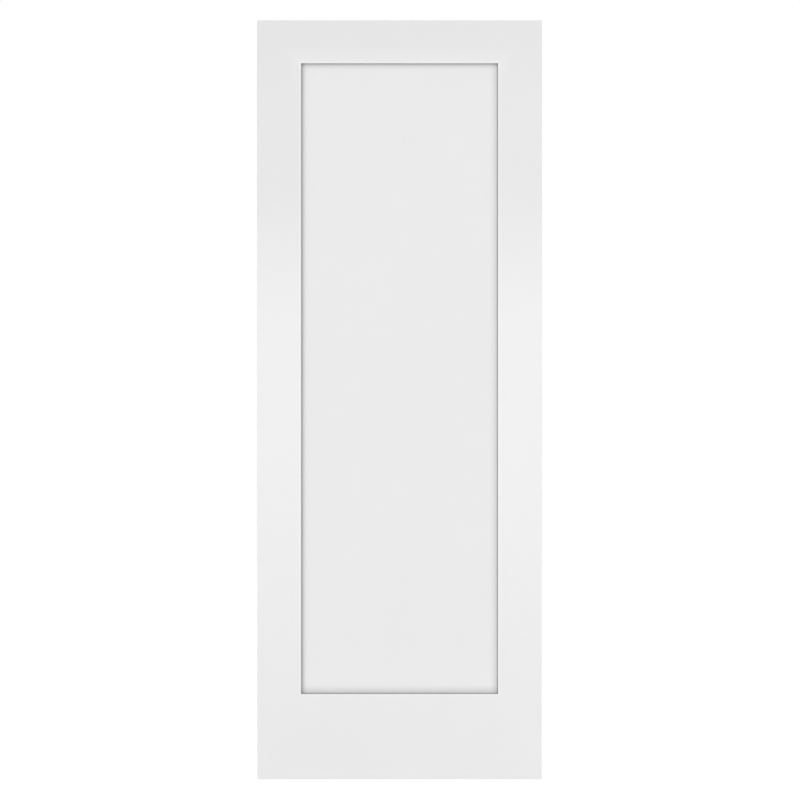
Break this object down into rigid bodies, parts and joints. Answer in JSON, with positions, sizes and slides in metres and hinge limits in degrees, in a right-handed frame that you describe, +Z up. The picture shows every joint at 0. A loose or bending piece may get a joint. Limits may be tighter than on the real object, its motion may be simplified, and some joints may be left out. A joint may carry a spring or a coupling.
{
  "type": "one-panel shaker door slab",
  "caption": "White primed shaker door slab: a square-edged stile-and-rail frame round a recessed flat panel, hung by its hinge edge to close a doorway.",
  "frame": {"origin": "foot of the hinge edge, on its flat face, in the middle of the door's thickness", "axes": "+X across the door from the hinge edge to the lock edge, +Y from the front face to the back face, +Z up"},
  "size_m": [0.762, 0.0348, 2.032],
  "materials": {
    "primed_board": "matte white primer on fibreboard, raw board at the top and bottom ends",
    "primed_pine": "matte white primer on pine, raw end grain at the top and bottom ends",
    "pine_core": "raw sawn pine, seen only on the top and bottom edges"
  },
  "bodies": {
    "root": {"panel": "primed_board", "left_stile_core": "pine_core", "left_stile_edge_band": "primed_pine", "left_stile_grooved_band": "primed_pine", "left_stile_front_face": "primed_board", "left_stile_back_face": "primed_board", "right_stile_core": "pine_core", "right_stile_edge_band": "primed_pine", "right_stile_grooved_band": "primed_pine", "right_stile_front_face": "primed_board", "right_stile_back_face": "primed_board", "top_rail_core": "pine_core", "top_rail_grooved_band": "primed_pine", "top_rail_front_face": "primed_board", "top_rail_back_face": "primed_board", "bottom_rail_core": "pine_core", "bottom_rail_grooved_band": "primed_pine", "bottom_rail_front_face": "primed_board", "bottom_rail_back_face": "primed_board"}
  },
  "joints": []
}
